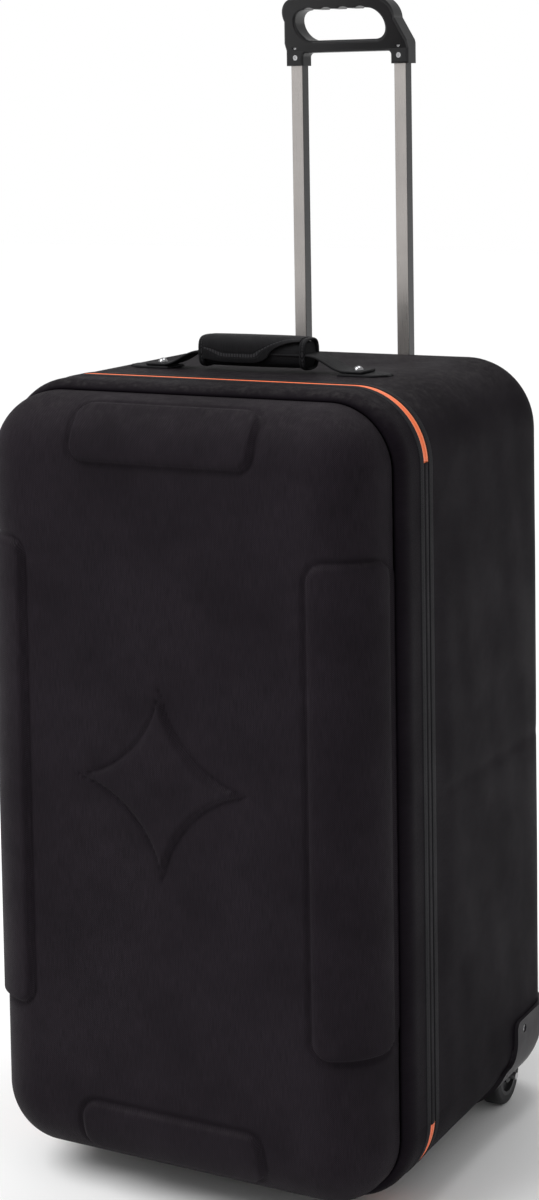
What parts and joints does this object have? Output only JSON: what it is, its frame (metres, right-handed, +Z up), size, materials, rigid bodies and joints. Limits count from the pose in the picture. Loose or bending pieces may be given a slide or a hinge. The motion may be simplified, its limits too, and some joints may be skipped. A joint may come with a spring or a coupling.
{
  "type": "telescope carry case",
  "caption": "Upright soft-sided telescope case with a moulded side-opening lid, orange zip, pull-out trolley grip, top carry handle and two wheels.",
  "frame": {"origin": "on the floor, under the middle of the whole width and depth", "axes": "+Z up, -Y out of the lid, +X towards the hinge side"},
  "size_m": [0.4849, 0.477, 1.271],
  "materials": {
    "shell_fabric": "woven polyester over board",
    "panel_fabric": "woven polyester moulded over foam",
    "web_fabric": "nylon webbing",
    "orange_tape": "coated zip tape",
    "foam": "grey foam with brushed lining",
    "board": "polypropylene sheet",
    "black_plastic": "satin black nylon",
    "guard_plastic": "satin dark grey plastic",
    "steel": "plated steel",
    "tube_metal": "satin anodised",
    "guide_metal": "mill finish",
    "black_metal": "black enamel",
    "bright_metal": "polished",
    "tyre_rubber": "soft black polyurethane",
    "hub_plastic": "grey nylon"
  },
  "bodies": {
    "case": {"body_cover": "shell_fabric", "left_board": "board", "right_board": "board", "top_board": "board", "bottom_board": "board", "back_board": "board", "left_foam": "foam", "right_foam": "foam", "top_foam": "foam", "bottom_foam": "foam", "back_foam": "foam", "back_spacer": "foam", "corner_foam": "foam", "lower_cradle": "foam", "upper_cradle": "foam", "body_rim_wire": "steel", "body_zip": "orange_tape", "hinge_strip": "web_fabric", "left_guide": "guide_metal", "right_guide": "guide_metal", "trolley_bracket": "black_plastic", "trolley_bezel": "black_plastic", "trolley_panel": "black_plastic", "trolley_screws": "steel", "left_wheel_housing": "guard_plastic", "right_wheel_housing": "guard_plastic", "housing_screws": "steel", "left_axle": "steel", "right_axle": "steel", "left_foot": "black_plastic", "right_foot": "black_plastic", "left_handle_tab": "web_fabric", "right_handle_tab": "web_fabric", "handle_rivets": "bright_metal"},
    "lid": {"lid_shell": "panel_fabric", "lid_gusset": "shell_fabric", "lid_boards": "board", "lid_corner_foam": "foam", "lid_foam": "foam", "lid_rim_wire": "steel", "lid_zip": "orange_tape"},
    "trolley": {"left_tube": "tube_metal", "right_tube": "tube_metal", "left_plug": "black_plastic", "right_plug": "black_plastic", "grip_front": "black_plastic", "grip_rear": "black_plastic", "grip_screws": "steel"},
    "left_pin": {"left_detent": "steel"},
    "right_pin": {"right_detent": "steel"},
    "left_wheel": {"left_tyre": "tyre_rubber", "left_hub": "hub_plastic"},
    "right_wheel": {"right_tyre": "tyre_rubber", "right_hub": "hub_plastic"},
    "carry_handle": {"handle_strap": "web_fabric", "handle_wrap": "web_fabric"},
    "slider_up": {"upper_slider": "black_metal"},
    "slider_low": {"lower_slider": "black_metal"},
    "pull_up": {"upper_pull": "black_metal"},
    "pull_low": {"lower_pull": "black_metal"}
  },
  "joints": [
    {"name": "lid_hinge", "type": "hinge", "parent": "case", "child": "lid", "pos_m": [0.2381, -0.1015, 0.438], "axis": [0, 0, 1], "range_deg": [0, 150], "deforming": ["hinge_strip"]},
    {"name": "trolley_slide", "type": "slide", "parent": "case", "child": "trolley", "axis": [0, 0, 1], "range_m": [-0.33, 0]},
    {"name": "left_detent_press", "type": "slide", "parent": "trolley", "child": "left_pin", "axis": [1, 0, 0], "range_m": [-0.0015, 0], "stiffness_N_per_m": 900, "springref_m": 0.0005},
    {"name": "right_detent_press", "type": "slide", "parent": "trolley", "child": "right_pin", "axis": [-1, 0, 0], "range_m": [-0.0015, 0], "stiffness_N_per_m": 900, "springref_m": 0.0005},
    {"name": "left_wheel_spin", "type": "hinge", "parent": "case", "child": "left_wheel", "pos_m": [-0.2, 0.1685, 0.034], "axis": [1, 0, 0], "continuous": true},
    {"name": "right_wheel_spin", "type": "hinge", "parent": "case", "child": "right_wheel", "pos_m": [0.2, 0.1685, 0.034], "axis": [1, 0, 0], "continuous": true},
    {"name": "carry_handle_tilt", "type": "hinge", "parent": "case", "child": "carry_handle", "pos_m": [0, -0.0145, 0.863], "axis": [1, 0, 0], "range_deg": [-20, 20], "deforming": ["handle_strap"]},
    {"name": "upper_slider_run", "type": "slide", "parent": "case", "child": "slider_up", "axis": [0, 0, 1], "range_m": [0, 0.26]},
    {"name": "lower_slider_run", "type": "slide", "parent": "case", "child": "slider_low", "axis": [0, 0, 1], "range_m": [-0.32, 0]},
    {"name": "upper_pull_swing", "type": "hinge", "parent": "slider_up", "child": "pull_up", "pos_m": [-0.2407, -0.1015, 0.5], "axis": [0, 1, 0], "range_deg": [0, 150]},
    {"name": "lower_pull_swing", "type": "hinge", "parent": "slider_low", "child": "pull_low", "pos_m": [-0.2407, -0.1015, 0.448], "axis": [0, 1, 0], "range_deg": [0, 150]}
  ]
}
